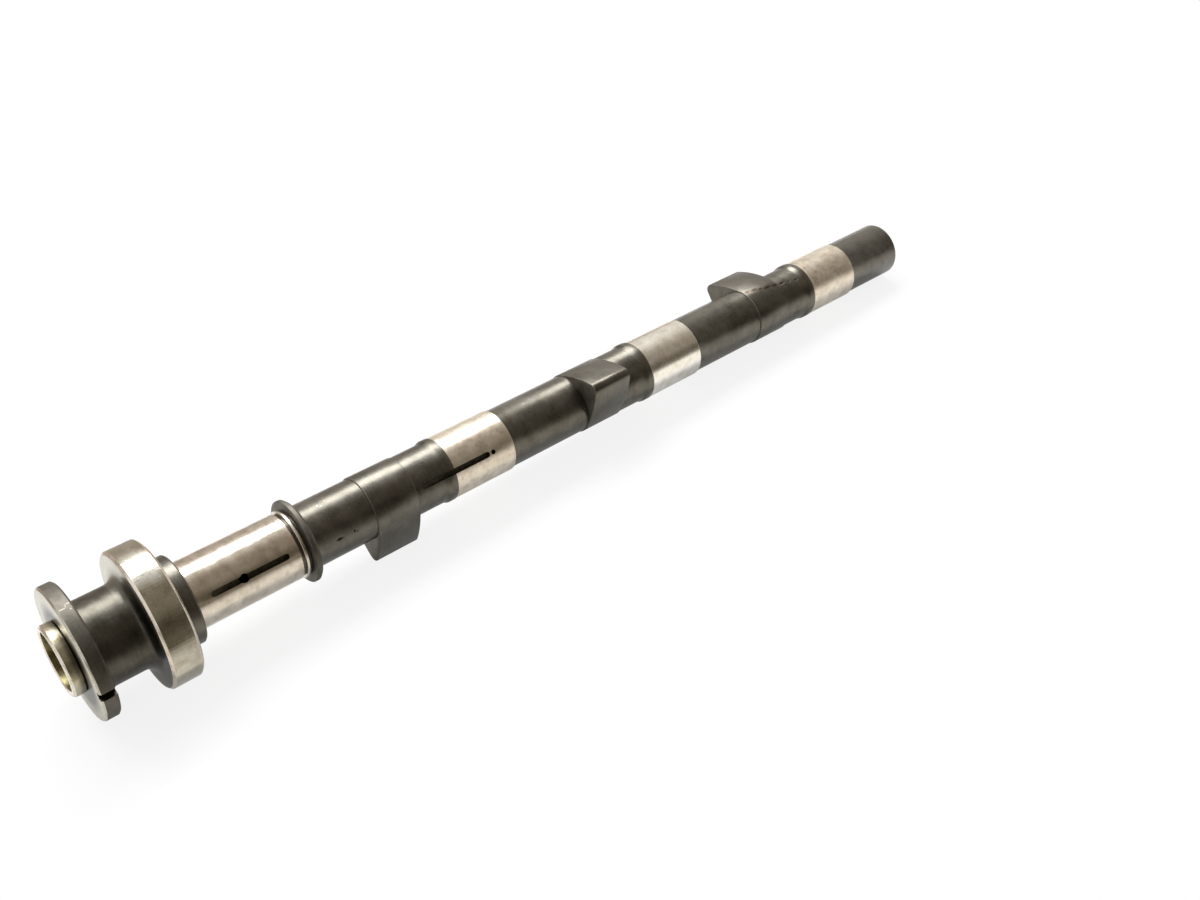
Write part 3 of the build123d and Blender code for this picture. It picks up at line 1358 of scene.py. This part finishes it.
@dataclass
class LightTent:
    """A tent round the set that only the metal mirrors, dim at the camera's side and bright overhead.

    Lengths are in metres. Its foot lies just over the floor in front of the shaft, and its far edge on the
    floor behind it.
    """

    floor: FloorLine
    nose_tones: tuple[Tone, ...] = (
        Tone(-3.0, "fffaf2"),
        Tone(-2.0, "756d60"),
        Tone(8.0, "5c5549"),
        Tone(22.0, "595448"),
        Tone(42.0, "8f8577"),
        Tone(66.0, "958b7e"),
        Tone(79.0, "a1978b"),
        Tone(88.0, "e0dcd6"),
        Tone(98.0, "f2f3f9", 1.1),
        Tone(136.0, "f2f3f9", 1.25),
        Tone(146.0, "e9e4df"),
        Tone(156.0, "b9ada2"),
        Tone(181.0, "bfb4a9"),
    )
    rear_tones: tuple[Tone, ...] = (
        Tone(-3.0, "fffaf2", 1.2),
        Tone(-2.0, "a39a8e"),
        Tone(8.0, "6a6358"),
        Tone(22.0, "665f53"),
        Tone(42.0, "90867a"),
        Tone(70.0, "9a9185"),
        Tone(90.0, "b5ada3"),
        Tone(112.0, "dad3c9"),
        Tone(126.0, "e4ddd4"),
        Tone(150.0, "e9e3da"),
        Tone(181.0, "e6e0d7"),
    )
    radius: float = 2.0
    floor_gap: float = 0.004
    floor_edge: float = 0.1
    foot: tuple[TentRow, ...] = (
        TentRow(-0.03, -0.03, -3.0),
        TentRow(-0.055, -0.11, -3.0),
        TentRow(-0.13, -0.26, -2.0),
    )
    columns: tuple[TentColumn, ...] = (
        TentColumn(-2.5, 0.0, 0.0),
        TentColumn(0.08, 0.0, 0.0),
        TentColumn(0.3, 0.0, 1.0),
        TentColumn(0.65, 0.0, 1.0),
        TentColumn(1.0, 0.55, 1.0),
        TentColumn(1.5, 1.0, 1.0),
        TentColumn(6.0, 1.0, 1.0),
    )
    arch_steps: int = 60

    def build(self) -> bpy.types.Object:
        """Bends a sheet over the set and paints its tones.

        Returns:
            The tent, which the camera and the floor don't see.
        """
        rows, columns = self._rows(), self.columns
        last_row, last_column = len(rows) - 1, len(columns) - 1
        grid = {"x_subdivisions": last_column, "y_subdivisions": last_row, "size": 1.0}
        tent = add_object("light_tent", bpy.ops.mesh.primitive_grid_add, **grid)
        tones = tent.data.color_attributes.new("tone", "FLOAT_COLOR", "POINT")
        for vertex in tent.data.vertices:
            column = columns[round((vertex.co.x + 0.5) * last_column)]
            row = rows[round((vertex.co.y + 0.5) * last_row)]
            share = column.foot_share if row.angle < 0 else column.arch_share
            nose, rear = (self._tone_at(table, row.angle) for table in (self.nose_tones, self.rear_tones))
            side = row.nose_side * (1 - share) + row.rear_side * share
            up = row.height if row.height > 0 else self.floor.height(column.along) + self.floor_gap
            vertex.co = (column.along, side, up)
            tones.data[vertex.index].color = [a * (1 - share) + b * share for a, b in zip(nose, rear)]
        tent.data.materials.append(self._paint())
        tent.visible_camera = False
        tent.visible_diffuse = False
        tent.visible_shadow = False
        return tent

    def _rows(self) -> list[TentRow]:
        """The tent's rows, from its foot on the camera's side over the top to the floor behind.

        Returns:
            The rows in order.
        """
        half_turn = 180.0
        arch = []
        for step in range(1, self.arch_steps):
            angle = half_turn * step / self.arch_steps
            side = math.cos(math.radians(angle)) * self.radius
            up = math.sin(math.radians(angle)) * self.radius
            arch.append(TentRow(-side, -side, angle, up))
        near = [TentRow(-self.radius, -self.radius, 0.0)]
        far = [TentRow(side, side, half_turn) for side in (self.radius, self.floor_edge)]
        return list(self.foot) + near + arch + far

    def _tone_at(self, tones: tuple[Tone, ...], angle: float) -> Colour:
        """The tone between the two nearest ones.

        Args:
            tones: The tones in the order of their angles.
            angle: Angle in degrees from the camera's side upwards.

        Returns:
            The linear colour times its strength.
        """
        low, high = next(pair for pair in zip(tones, tones[1:]) if angle <= pair[1].angle)
        share = (angle - low.angle) / (high.angle - low.angle)
        both = zip(linear(low.colour)[:3], linear(high.colour)[:3])
        red, green, blue = (a * low.strength * (1 - share) + b * high.strength * share for a, b in both)
        return (red, green, blue, 1.0)

    def _paint(self) -> bpy.types.Material:
        """Glows in the tones painted on the tent.

        Returns:
            The tent's material.
        """
        material = bpy.data.materials.new("tent_paint")
        tree = Tree(material)
        tone = tree.add("Attribute", attribute_name="tone")
        glow = tree.add("Emission", {"Color": tone.outputs["Color"], "Strength": 1.0})
        tree.add("OutputMaterial", {"Surface": glow.outputs[0]})
        return material


@dataclass
class Studio:
    """A white floor, an overhead softbox, a light tent that the metal mirrors, the world and the camera.

    Lengths are in metres.
    """

    shaft: ShaftSizes = field(default_factory=ShaftSizes)
    camera: CameraPlace = field(default_factory=CameraPlace)
    floor_size: float = 12.0
    seen_white: float = 0.85
    mirrored_white: float = 0.3
    softbox_size: Point = (1.45, 0.46)
    softbox_middle: Triple = (0.25, 0.54, 0.85)
    softbox_swing: float = 8.0
    softbox_watts: float = 19.0
    world_on_part: float = 0.5

    def build(self) -> None:
        """Builds the whole set and switches the view to plain colours."""
        floor = FloorLine(self.shaft)
        self._floor(floor)
        self._softbox()
        LightTent(floor).build()
        self._world()
        self._camera()
        bpy.context.scene.view_settings.view_transform = "Standard"

    def _floor(self, line: FloorLine) -> None:
        """Lays the floor so that it touches the drive ring and the rear end, as the shaft rests on both.

        Args:
            line: The floor's line under the shaft.
        """
        floor = add_object("floor", bpy.ops.mesh.primitive_plane_add, size=self.floor_size)
        floor.data.transform(Matrix.Translation(line.ring_point) @ Matrix.Rotation(-line.pitch, 4, "Y"))
        floor.data.materials.append(self._white_paper())

    def _white_paper(self) -> bpy.types.Material:
        """White paper: the camera sees a faint shadow on it, and the metal mirrors more of that shadow.

        Returns:
            The floor's material.
        """
        material = bpy.data.materials.new("white_paper_floor")
        tree = Tree(material)
        path = tree.add("LightPath").outputs
        mirrors = {0: path["Is Glossy Ray"], 1: path["Is Transmission Ray"]}
        mirrored = {0: tree.add("Math", mirrors, operation="MAXIMUM").outputs[0], 1: self.mirrored_white}
        mirrored = tree.add("Math", mirrored, operation="MULTIPLY")
        direct = tree.add("Math", {0: path["Is Camera Ray"], 1: self.seen_white}, operation="MULTIPLY")
        share = tree.add("Math", {0: direct.outputs[0], 1: mirrored.outputs[0]}, operation="MAXIMUM")
        paper = tree.add("BsdfDiffuse", {"Color": PAPER})
        glow = tree.add("Emission", {"Color": WHITE, "Strength": 1.0})
        mix = tree.add("MixShader", {0: share.outputs[0], 1: paper.outputs[0], 2: glow.outputs[0]})
        tree.add("OutputMaterial", {"Surface": mix.outputs[0]})
        return material

    def _softbox(self) -> None:
        """Hangs the softbox above the shaft, a little towards the rear, where its mirror image falls."""
        area = {"type": "AREA", "location": self.softbox_middle}
        lamp = add_object("overhead_softbox", bpy.ops.object.light_add, **area)
        lamp.data.shape = "RECTANGLE"
        lamp.data.size, lamp.data.size_y = self.softbox_size
        lamp.data.energy = self.softbox_watts
        middle = Vector(self.softbox_middle)
        lamp.rotation_euler = (-math.atan2(middle.y, middle.z), 0, math.radians(self.softbox_swing))

    def _world(self) -> None:
        """White all round, a little weaker where it only lights the part."""
        world = bpy.data.worlds.new("white_studio")
        tree = Tree(world)
        path = tree.add("LightPath")
        by_ray = {"Value": path.outputs["Is Diffuse Ray"], "To Min": 1.0, "To Max": self.world_on_part}
        strength = tree.add("MapRange", by_ray).outputs["Result"]
        white = tree.add("Background", {"Color": WHITE, "Strength": strength})
        tree.add("OutputWorld", {"Surface": white.outputs[0]})
        bpy.context.scene.world = world

    def _camera(self) -> None:
        """Places the camera at the photograph's viewing angle."""
        place = self.camera
        camera = add_object("camera", bpy.ops.object.camera_add)
        right = Vector(place.right).normalized()
        back = -Vector(place.looks_along).normalized()
        up = back.cross(right)
        nose_end = Vector((-self.shaft.origin_station * MM, 0, 0))
        spot = nose_end + Vector(place.from_nose_end) * MM
        turn = Matrix((right, up, back)).transposed().to_4x4()
        camera.matrix_world = Matrix.Translation(spot) @ turn
        camera.data.lens = place.lens
        camera.data.sensor_width = place.sensor_width
        camera.data.sensor_fit = "HORIZONTAL"
        camera.data.clip_start = place.sees_from * MM
        bpy.context.scene.camera = camera


def main() -> None:
    """Builds the camshaft and its studio in order and reports each piece."""
    logging.basicConfig(level=logging.INFO, format="%(message)s")
    body = Camshaft().build()
    LOG.info("%s: %d faces", body.name, len(body.data.polygons))
    Studio().build()
    LOG.info("studio ready")


if __name__ == "__main__":
    main()
